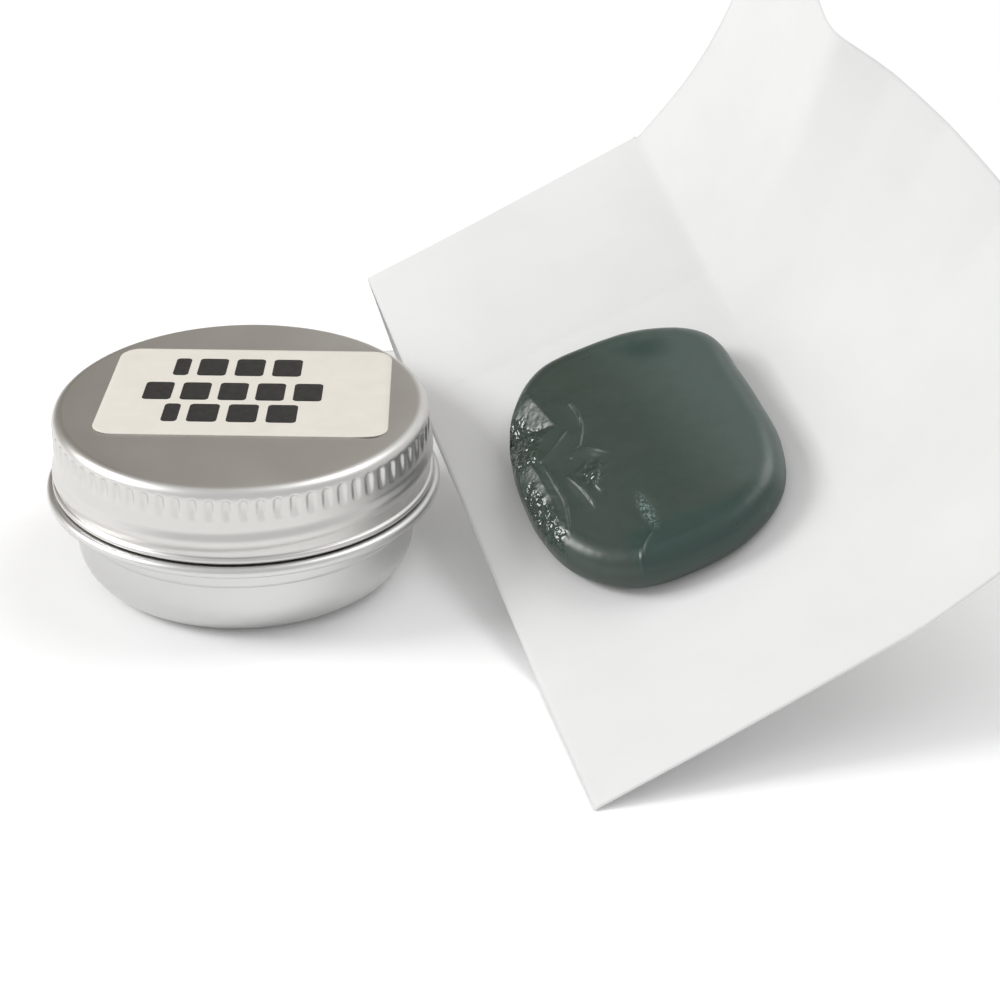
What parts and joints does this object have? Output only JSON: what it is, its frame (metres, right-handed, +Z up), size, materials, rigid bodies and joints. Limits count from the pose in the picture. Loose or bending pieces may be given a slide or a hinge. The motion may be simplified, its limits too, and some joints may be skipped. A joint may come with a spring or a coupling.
{
  "type": "compound tin",
  "caption": "Round screw-top aluminium tin with a labelled, fluted lid, beside a flat puck of green moulding compound on its creased paper wrapper.",
  "frame": {"origin": "centre of the tin's flat bottom, on the surface it stands on", "axes": "+Z up along the tin's axis, +X towards the puck and wrapper, +Y away from the viewer"},
  "size_m": [0.1096, 0.0989, 0.0575],
  "materials": {
    "tin_base": "satin drawn aluminium",
    "lid_shell": "satin pressed aluminium",
    "lid_liner": "white foamed polyethylene",
    "lid_label": "matt off-white sticker paper",
    "wrapper_sheet": "smooth white creased paper",
    "compound_puck": "glossy dark green moulding compound"
  },
  "bodies": {
    "base": {"tin_base": "tin_base"},
    "liner": {"lid_liner": "lid_liner"},
    "lid": {"lid_shell": "lid_shell", "lid_label": "lid_label"},
    "wrapper": {"wrapper_sheet": "wrapper_sheet"},
    "compound": {"compound_puck": "compound_puck"}
  },
  "joints": [
    {"name": "lid_lift", "type": "slide", "parent": "base", "child": "liner", "axis": [0, 0, 1], "range_m": [0, 0.0151]},
    {"name": "lid_turn", "type": "hinge", "parent": "liner", "child": "lid", "pos_m": [0, 0, 0.018], "axis": [0, 0, 1], "range_deg": [0, 1800]},
    {"name": "wrapper_lift", "type": "slide", "parent": "base", "child": "wrapper", "axis": [0, 0, 1], "range_m": [0, 0.04]},
    {"name": "compound_lift", "type": "slide", "parent": "wrapper", "child": "compound", "axis": [-0.215, -0.3509, 0.9114], "range_m": [0, 0.03]}
  ],
  "couplings": [
    {"joint": "lid_lift", "follows": "lid_turn", "m_per_rad": 0.00047746}
  ]
}
